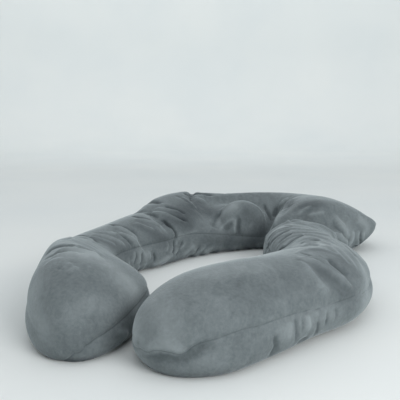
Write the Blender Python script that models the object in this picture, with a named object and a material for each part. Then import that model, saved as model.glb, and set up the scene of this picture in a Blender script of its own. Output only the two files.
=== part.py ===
"""A U-shaped body pillow, lying flat on its lower panel with both arms curled inwards.

One filled body: a lower and an upper panel sewn together all round their edge.  The body is a ladder of
rungs that runs from the left arm's tip, round the head end, to the right arm's tip.  Each rung joins a
point of the seam on the inner side of the U to a point on its outer side, and carries a section: a
crowned upper panel over the seam, and a lower panel that bulges out and lies flat on the surface.

Frame: metres, +Z up, origin on the surface under the middle of the pillow's box, +Y towards the head end.
The tables' plan is in centimetres from a point near the origin, and is centred once the body is known.
"""

import bmesh
import bpy
import numpy as np

CM = 0.01

# The rungs, from the left arm's tip to the right arm's tip.  Lengths in centimetres.
# in_x, in_y    seam point on the inner side of the U
# out_x, out_y  seam point on the outer side (a tip has both in one place)
# seam          height of the seam above the surface
# crown         height of the upper panel above the seam at its crest (0 at a tip)
# belly         how deep the lower panel would hang below the seam if nothing stopped it (0 at a tip)
# lean          how far the crest sits towards the outer side, in half rungs
# full          superellipse power of the upper panel's section: 2 is round, more is fuller
RUNG_COLUMNS = ("in_x", "in_y", "out_x", "out_y", "seam", "crown", "belly", "lean", "full")
RUNGS = {
    "left_tip": (-34.0, -62.5, -34.0, -62.5, 4.0, 0.0, 0.0, 0.0, 2.2),
    "left_toe": (-28.4, -58.4, -41.2, -58.8, 5.0, 7.4, 6.6, 0.1, 2.1),
    "left_ball_front": (-23.8, -48.5, -46.4, -48.5, 6.8, 9.8, 9.8, 0.2, 2.0),
    "left_ball": (-21.8, -37.5, -48.4, -36.0, 8.0, 9.4, 10.4, 0.3, 1.75),
    "left_ball_back": (-26.2, -27.0, -49.2, -22.0, 8.4, 7.9, 10.2, 0.45, 1.8),
    "left_shank": (-32.0, -17.6, -48.4, -9.5, 8.2, 5.8, 10.0, 0.25, 2.1),
    "left_waist": (-32.8, -7.8, -46.2, 1.0, 8.0, 5.4, 9.8, 0.1, 2.1),
    "left_neck": (-28.6, 1.0, -42.8, 12.0, 8.0, 5.6, 9.8, 0.0, 2.0),
    "left_crook": (-23.6, 6.6, -38.8, 23.0, 8.0, 6.2, 11.5, -0.05, 2.0),
    "left_shoulder": (-19.8, 11.4, -34.0, 33.5, 8.0, 6.8, 13.5, 0.0, 2.0),
    "left_corner": (-15.4, 16.4, -28.8, 46.8, 8.2, 9.0, 15.5, 0.2, 1.75),
    "bar_left": (-10.2, 21.2, -20.0, 56.5, 8.0, 10.0, 16.0, 0.3, 1.6),
    "bar_middle": (-3.7, 25.4, -9.5, 62.0, 7.0, 10.1, 14.0, 0.42, 1.55),
    "bar_lobe": (3.1, 28.6, 3.0, 66.0, 5.6, 10.7, 10.0, 0.45, 1.55),
    "bar_right": (9.2, 31.4, 15.5, 67.5, 4.6, 11.6, 8.6, 0.4, 1.6),
    "right_notch": (12.6, 31.6, 27.5, 65.5, 5.0, 11.3, 8.6, 0.2, 1.8),
    "right_back": (12.6, 26.8, 38.5, 59.0, 6.0, 10.8, 9.6, 0.0, 1.9),
    "right_corner": (11.2, 21.0, 46.2, 49.5, 7.0, 10.4, 9.6, 0.0, 1.7),
    "right_ear": (10.0, 16.2, 50.2, 35.5, 8.0, 9.0, 9.4, 0.0, 1.3),
    "right_ear_front": (9.7, 11.4, 41.0, 26.0, 7.8, 5.4, 9.4, -0.1, 1.8),
    "right_neck": (9.6, 6.0, 31.6, 15.0, 7.8, 5.2, 9.6, -0.1, 2.1),
    "right_waist": (9.8, -2.5, 30.0, 4.0, 7.8, 5.2, 9.8, -0.1, 2.1),
    "right_shank": (10.4, -11.5, 31.2, -8.0, 8.0, 5.6, 10.2, 0.0, 2.1),
    "right_knee": (7.2, -21.5, 32.0, -20.0, 8.0, 6.2, 11.0, 0.05, 2.1),
    "right_calf": (0.9, -28.4, 30.2, -32.0, 8.4, 7.1, 11.0, 0.08, 2.0),
    "right_ball_back": (-6.2, -34.8, 24.7, -42.7, 8.5, 7.6, 10.6, 0.1, 2.0),
    "right_ball": (-12.6, -40.0, 15.4, -51.2, 8.4, 8.2, 10.4, 0.1, 2.0),
    "right_ball_front": (-17.8, -45.6, 5.6, -59.6, 8.0, 8.4, 11.0, 0.1, 2.1),
    "right_toe_back": (-21.4, -51.6, -4.6, -67.6, 7.0, 7.8, 10.2, 0.1, 2.1),
    "right_toe": (-23.0, -58.8, -14.1, -69.4, 6.0, 5.6, 6.2, 0.05, 2.1),
    "right_tip": (-21.4, -65.8, -21.4, -65.8, 6.0, 0.0, 0.0, 0.0, 2.1),
}

# The head lobe: a round mound that the filling pushes up behind the inner seam of the head end, and
# the moat around it.
LOBE = {"x": 4.3, "y": 36.8, "top": 15.8, "radius": 11.3, "full": 2.05, "blend": 0.6}
MOAT = {"radius": 13.0, "width": 4.8, "depth": 2.7, "towards": 50, "even": 0.7}

# Main folds of the upper panel: valleys between two points of the plan, in centimetres.
FOLD_COLUMNS = ("x0", "y0", "x1", "y1", "width", "depth")
FOLDS = {
    "left_neck_fold": (-19.0, 10.5, -29.0, 27.0, 2.4, 2.2),
    "right_bar_fold": (12.0, 30.0, 17.5, 43.0, 2.4, 3.6),
    "right_corner_fold": (13.5, 20.5, 23.5, 21.5, 2.6, 3.2),
    "right_ear_fold": (23.5, 21.5, 36.0, 18.0, 2.6, 3.6),
    "right_knee_fold": (6.0, -22.0, 27.0, -26.0, 2.6, 1.4),
}

FOLD_EASE = 0.55  # share of a fold's depth that is gone at its second point
FADE = 1.5  # how soon inside the seams the lobe, moat and folds have their full size

SPLINE_STEPS = 40  # points of the smooth outline for each row of the table
RUNG_COUNT = 146  # rungs of the mesh, tips left out
UPPER_STEPS = 17  # faces across the upper panel
LOWER_STEPS = 11  # faces across the lower panel
BELLY_FULLNESS = 1.3  # superellipse power of the lower panel's section, as a share of the upper one's
BELLY_BULGE = 0.08  # how far the lower panel bulges past the seam, in half rungs, for each power over 1


def clear_scene():
    for obj in list(bpy.data.objects):
        bpy.data.objects.remove(obj)


def closed_spline(points, steps):
    """Points on a smooth closed curve (Catmull-Rom) through the given rows, steps of them for each row."""
    before = np.roll(points, 1, axis=0)
    after = np.roll(points, -1, axis=0)
    beyond = np.roll(points, -2, axis=0)
    u = (np.arange(steps) / steps)[:, None, None]
    curve = 0.5 * (
        2 * points
        + (after - before) * u
        + (2 * before - 5 * points + 4 * after - beyond) * u**2
        + (3 * points - before - 3 * after + beyond) * u**3
    )
    return curve.transpose(1, 0, 2).reshape(-1, points.shape[1])


def ladder():
    """Smooth rungs between the table's rows, evenly spaced along the seams: a dict of columns, in metres.

    The outline is one closed curve: out along the outer points, back along the inner ones.  The crown
    and the belly change sign on the way back, so that they fall to nothing at a tip as a round end does.
    """
    table = dict(zip(RUNG_COLUMNS, np.array(list(RUNGS.values())).T))
    shared = [table[name] for name in ("seam", "crown", "belly", "lean", "full")]
    outer = np.column_stack([table["out_x"], table["out_y"], *shared])
    inner = np.column_stack([table["in_x"], table["in_y"], *shared]) * (1, 1, 1, -1, -1, 1, 1)
    curve = closed_spline(np.concatenate([outer, inner[-2:0:-1]]), SPLINE_STEPS)
    last = (len(outer) - 1) * SPLINE_STEPS
    out_side = curve[: last + 1]
    in_side = np.roll(curve[::-1], 1, axis=0)[: last + 1]
    strides = [np.linalg.norm(np.diff(side[:, :2], axis=0), axis=1) for side in (in_side, out_side)]
    along = np.concatenate([[0], np.cumsum(sum(strides))])
    place = np.interp(np.linspace(0, along[-1], RUNG_COUNT + 2), along, np.arange(last + 1))
    smooth = np.column_stack([in_side[:, :2], out_side])
    picked = [np.interp(place, np.arange(last + 1), column) for column in smooth.T]
    rungs = dict(zip(RUNG_COLUMNS, picked))
    for name in ("in_x", "in_y", "out_x", "out_y", "seam", "crown", "belly"):
        rungs[name] = rungs[name] * CM
    return rungs


def across_steps(count):
    """Places across a panel from -1, the inner seam, to 1, the outer one, closer together at the seams."""
    return -np.cos(np.linspace(0, np.pi, count + 1))[None, :]


def superellipse(across, power):
    """Height, 0 to 1, of a superellipse section at a place across it from -1 to 1."""
    return np.maximum(0, 1 - np.abs(across) ** power) ** (1 / power)


def from_lobe(x, y):
    """Distance from the middle of the head lobe."""
    return np.hypot(x - LOBE["x"] * CM, y - LOBE["y"] * CM)


def lobe_height(x, y):
    """Height of the head lobe's round mound above the surface, nothing outside its radius."""
    out = np.minimum(1, from_lobe(x, y) / (LOBE["radius"] * CM))
    return LOBE["top"] * CM * superellipse(out, LOBE["full"])


def moat_depth(x, y):
    """How far the moat lies below the panel: a ring round the lobe, deep behind it and none in front."""
    away = (from_lobe(x, y) - MOAT["radius"] * CM) / (MOAT["width"] * CM)
    bearing = np.arctan2(y - LOBE["y"] * CM, x - LOBE["x"] * CM) - np.radians(MOAT["towards"])
    share = np.clip(MOAT["even"] + (1 - MOAT["even"]) * np.cos(bearing), 0, 1)
    return MOAT["depth"] * CM * share * np.exp(-(away**2))


def smooth_max(a, b, blend):
    """The larger of a and b, with a rounded corner of the given size between them."""
    return (a + b + np.sqrt((a - b) ** 2 + blend**2)) / 2


def fold_depth(x, y):
    """How far the main folds press the upper panel down at a place of the plan.

    A fold is a trough along a line.  Across the line it is a bell, and along it the depth eases off.
    """
    total = np.zeros_like(x)
    for row in FOLDS.values():
        fold = {name: value * CM for name, value in zip(FOLD_COLUMNS, row)}
        run = np.array([fold["x1"] - fold["x0"], fold["y1"] - fold["y0"]])
        share = ((x - fold["x0"]) * run[0] + (y - fold["y0"]) * run[1]) / (run @ run)
        share = np.clip(share, 0, 1)
        away = np.hypot(x - fold["x0"] - share * run[0], y - fold["y0"] - share * run[1])
        total += fold["depth"] * (1 - FOLD_EASE * share) * np.exp(-((away / fold["width"]) ** 2))
    return total


def between(rungs, across):
    """Plan of the points a share of the way across each rung: -1 is its inner seam, 1 its outer one."""
    share = (across + 1) / 2
    x = rungs["in_x"] + (rungs["out_x"] - rungs["in_x"]) * share
    y = rungs["in_y"] + (rungs["out_y"] - rungs["in_y"]) * share
    return x, y


def upper_panel(rungs):
    """Points of the upper panel from the inner seam to the outer one, with its lobe, moat and folds."""
    across = across_steps(UPPER_STEPS)
    x, y = between(rungs, across)
    leant = (across - rungs["lean"]) / (1 - rungs["lean"] * across)
    # The moat, lobe and folds fade out as the panel comes down to its seams.
    inside = np.minimum(1, superellipse(across, 2) * FADE)
    z = rungs["seam"] + rungs["crown"] * superellipse(leant, rungs["full"])
    z = z - moat_depth(x, y) * inside
    lobe = rungs["seam"] + (lobe_height(x, y) - rungs["seam"]) * inside
    z = smooth_max(z, lobe, LOBE["blend"] * CM * inside)
    z = z - fold_depth(x, y) * inside
    return np.dstack([x, y, z])


def lower_panel(rungs):
    """Points of the lower panel from the outer seam to the inner one, pressed flat by the surface.

    The seams themselves are left out, because the upper panel has them.
    """
    across = -across_steps(LOWER_STEPS)[:, 1:-1]
    drop = superellipse(across, BELLY_FULLNESS * rungs["full"])
    bulge = BELLY_BULGE * (rungs["full"] - 1) * np.sin(np.pi * drop)
    x, y = between(rungs, across * (1 + bulge))
    z = np.maximum(0, rungs["seam"] - rungs["belly"] * drop)
    return np.dstack([x, y, z])


def sections():
    """Points of every section, as rungs by places round the section, and the points of the two tips."""
    rungs = ladder()
    tips = np.column_stack([rungs[name][[0, -1]] for name in ("in_x", "in_y", "seam")])
    inner_rungs = {name: column[1:-1, None] for name, column in rungs.items()}
    rings = np.concatenate([upper_panel(inner_rungs), lower_panel(inner_rungs)], axis=1)
    # The frame's origin lies under the middle of the pillow's box.
    middle = (rings.min(axis=(0, 1)) + rings.max(axis=(0, 1))) / 2 * (1, 1, 0)
    return rings - middle, tips - middle


def make_pillow():
    """Skins the sections with quads and closes each arm's end with a fan of triangles at its tip."""
    rings, tips = sections()
    count, around = rings.shape[:2]
    mesh = bmesh.new()
    verts = [[mesh.verts.new(point) for point in ring] for ring in rings]
    ends = [mesh.verts.new(tip) for tip in tips]
    for i in range(count - 1):
        for j in range(around):
            k = (j + 1) % around
            mesh.faces.new((verts[i][j], verts[i][k], verts[i + 1][k], verts[i + 1][j]))
    for j in range(around):
        k = (j + 1) % around
        mesh.faces.new((ends[0], verts[0][k], verts[0][j]))
        mesh.faces.new((ends[1], verts[-1][j], verts[-1][k]))
    bmesh.ops.recalc_face_normals(mesh, faces=mesh.faces)
    data = bpy.data.meshes.new("body_pillow")
    mesh.to_mesh(data)
    mesh.free()
    data.shade_smooth()
    pillow = bpy.data.objects.new("body_pillow", data)
    bpy.context.scene.collection.objects.link(pillow)
    return pillow


def velour():
    """Grey short-pile velour."""
    material = bpy.data.materials.new("grey_velour")
    material.use_nodes = True
    shader = material.node_tree.nodes["Principled BSDF"]
    shader.inputs["Base Color"].default_value = (0.16, 0.19, 0.205, 1)
    shader.inputs["Roughness"].default_value = 0.9
    shader.inputs["Metallic"].default_value = 0.0
    shader.inputs["Sheen Weight"].default_value = 0.5
    return material


clear_scene()
body = make_pillow()
body.data.materials.append(velour())
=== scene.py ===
"""A U-shaped body pillow in blue-grey short-pile velour, lying on a pale surface with both arms curled in.

The pillow is one stuffed piece.  Its cover is worked out as a grid of points: rungs along the U by places
round each rung's section.  Main folds and broad creases are pressed into the grid, the cloth is simulated
with pressure inside so that they settle, and then all the creases, the seam and the foot are finished on a
grid twice as fine.

Lengths are in metres, except in tables that say otherwise.
"""

import math

import bpy
import numpy as np
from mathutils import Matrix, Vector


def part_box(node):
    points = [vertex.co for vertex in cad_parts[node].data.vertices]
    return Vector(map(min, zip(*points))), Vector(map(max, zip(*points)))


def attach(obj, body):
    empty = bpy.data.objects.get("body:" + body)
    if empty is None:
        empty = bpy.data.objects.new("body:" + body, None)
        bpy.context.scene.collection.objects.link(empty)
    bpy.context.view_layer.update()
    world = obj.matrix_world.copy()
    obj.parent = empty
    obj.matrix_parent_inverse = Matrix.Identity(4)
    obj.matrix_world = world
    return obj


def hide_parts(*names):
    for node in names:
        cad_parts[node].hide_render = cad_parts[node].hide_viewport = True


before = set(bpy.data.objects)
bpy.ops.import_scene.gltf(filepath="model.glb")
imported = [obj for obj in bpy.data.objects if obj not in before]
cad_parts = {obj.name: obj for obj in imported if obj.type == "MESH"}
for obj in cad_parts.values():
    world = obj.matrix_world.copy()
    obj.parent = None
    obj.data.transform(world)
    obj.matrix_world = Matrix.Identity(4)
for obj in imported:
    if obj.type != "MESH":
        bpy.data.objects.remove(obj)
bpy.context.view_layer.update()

CM = 0.01
MM = 0.001

# ---------------------------------------------------------------------------------------------------------
# Tables
# ---------------------------------------------------------------------------------------------------------

# The pattern of the pillow: rungs from the left arm's tip, round the head end, to the right arm's tip, as
# the CAD part has them, in centimetres.  A rung joins the inner seam to the outer seam.
RUNG_COLUMNS = ("in_x", "in_y", "out_x", "out_y", "seam", "crown", "belly", "lean", "full")
RUNGS = {
    "left_tip": (-34.0, -62.5, -34.0, -62.5, 4.0, 0.0, 0.0, 0.0, 2.2),
    "left_toe": (-28.4, -58.4, -41.2, -58.8, 5.0, 7.4, 6.6, 0.1, 2.1),
    "left_ball_front": (-23.8, -48.5, -46.4, -48.5, 6.8, 9.8, 9.8, 0.2, 2.0),
    "left_ball": (-21.8, -37.5, -48.4, -36.0, 8.0, 9.4, 10.4, 0.3, 1.75),
    "left_ball_back": (-26.2, -27.0, -49.2, -22.0, 8.4, 7.9, 10.2, 0.45, 1.8),
    "left_shank": (-32.0, -17.6, -48.4, -9.5, 8.2, 5.8, 10.0, 0.25, 2.1),
    "left_waist": (-32.8, -7.8, -46.2, 1.0, 8.0, 5.4, 9.8, 0.1, 2.1),
    "left_neck": (-28.6, 1.0, -42.8, 12.0, 8.0, 5.6, 9.8, 0.0, 2.0),
    "left_crook": (-23.6, 6.6, -38.8, 23.0, 8.0, 6.2, 11.5, -0.05, 2.0),
    "left_shoulder": (-19.8, 11.4, -34.0, 33.5, 8.0, 6.8, 13.5, 0.0, 2.0),
    "left_corner": (-15.4, 16.4, -28.8, 46.8, 8.2, 9.0, 15.5, 0.2, 1.75),
    "bar_left": (-10.2, 21.2, -20.0, 56.5, 8.0, 10.0, 16.0, 0.3, 1.6),
    "bar_middle": (-3.7, 25.4, -9.5, 62.0, 7.0, 10.1, 14.0, 0.42, 1.55),
    "bar_lobe": (3.1, 28.6, 3.0, 66.0, 5.6, 10.7, 10.0, 0.45, 1.55),
    "bar_right": (9.2, 31.4, 15.5, 67.5, 4.6, 11.6, 8.6, 0.4, 1.6),
    "right_notch": (12.6, 31.6, 27.5, 65.5, 5.0, 11.3, 8.6, 0.2, 1.8),
    "right_back": (12.6, 26.8, 38.5, 59.0, 6.0, 10.8, 9.6, 0.0, 1.9),
    "right_corner": (11.2, 21.0, 46.2, 49.5, 7.0, 10.4, 9.6, 0.0, 1.7),
    "right_ear": (10.0, 16.2, 50.2, 35.5, 8.0, 9.0, 9.4, 0.0, 1.3),
    "right_ear_front": (9.7, 11.4, 41.0, 26.0, 7.8, 5.4, 9.4, -0.1, 1.8),
    "right_neck": (9.6, 6.0, 31.6, 15.0, 7.8, 5.2, 9.6, -0.1, 2.1),
    "right_waist": (9.8, -2.5, 30.0, 4.0, 7.8, 5.2, 9.8, -0.1, 2.1),
    "right_shank": (10.4, -11.5, 31.2, -8.0, 8.0, 5.6, 10.2, 0.0, 2.1),
    "right_knee": (7.2, -21.5, 32.0, -20.0, 8.0, 6.2, 11.0, 0.05, 2.1),
    "right_calf": (0.9, -28.4, 30.2, -32.0, 8.4, 7.1, 11.0, 0.08, 2.0),
    "right_ball_back": (-6.2, -34.8, 24.7, -42.7, 8.5, 7.6, 10.6, 0.1, 2.0),
    "right_ball": (-12.6, -40.0, 15.4, -51.2, 8.4, 8.2, 10.4, 0.1, 2.0),
    "right_ball_front": (-17.8, -45.6, 5.6, -59.6, 8.0, 8.4, 11.0, 0.1, 2.1),
    "right_toe_back": (-21.4, -51.6, -4.6, -67.6, 7.0, 7.8, 10.2, 0.1, 2.1),
    "right_toe": (-23.0, -58.8, -14.1, -69.4, 6.0, 5.6, 6.2, 0.05, 2.1),
    "right_tip": (-21.4, -65.8, -21.4, -65.8, 6.0, 0.0, 0.0, 0.0, 2.1),
}

# The head lobe and the moat round it, in centimetres, as the CAD part has them.
LOBE = {"x": 4.3, "y": 36.8, "top": 15.8, "radius": 11.3, "full": 2.05, "blend": 0.6}
MOAT = {"radius": 13.0, "width": 4.8, "depth": 2.7, "towards": 50, "even": 0.7}

# The main folds of the upper panel, in centimetres, as the CAD part has them but for a shallower knee.
FOLD_COLUMNS = ("x0", "y0", "x1", "y1", "width", "depth")
FOLDS = {
    "left_neck_fold": (-19.0, 10.5, -29.0, 27.0, 2.4, 2.2),
    "right_bar_fold": (12.0, 30.0, 17.5, 43.0, 2.4, 3.6),
    "right_corner_fold": (13.5, 20.5, 23.5, 21.5, 2.6, 3.2),
    "right_ear_fold": (23.5, 21.5, 36.0, 18.0, 2.6, 3.6),
    "right_knee_fold": (5.0, -22.0, 21.0, -25.0, 2.6, 0.7),
}
FOLD_EASE = 0.55  # share of a fold's depth that is gone at its second point
FADE = 1.5  # how soon inside the seams the lobe, moat and folds have their full size

# How closely the rungs of the cover stand, by rung name: 1 is even, more is closer.
CROWDING = {
    "left_tip": 0.7,
    "left_ball_back": 0.7,
    "left_shank": 1.1,
    "bar_left": 1.1,
    "bar_right": 1.0,
    "right_ear_front": 1.3,
    "right_neck": 1.7,
    "right_shank": 1.7,
    "right_calf": 0.9,
    "right_ball_back": 0.7,
    "right_tip": 0.7,
}

SPLINE_STEPS = 40  # points of the smooth outline for each row of the table
RUNG_COUNT = 600  # rungs of the cover, tips left out
UPPER_STEPS = 62  # faces across the upper panel
LOWER_STEPS = 44  # faces across the lower panel
FINE_STEPS = 320  # points of a section before they are evenly spaced
BELLY_FULLNESS = 1.3  # superellipse power of the lower panel's section, as a share of the upper one's
BELLY_BULGE = 0.08  # how far the lower panel bulges past the seam, in half rungs, for each power over 1

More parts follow.
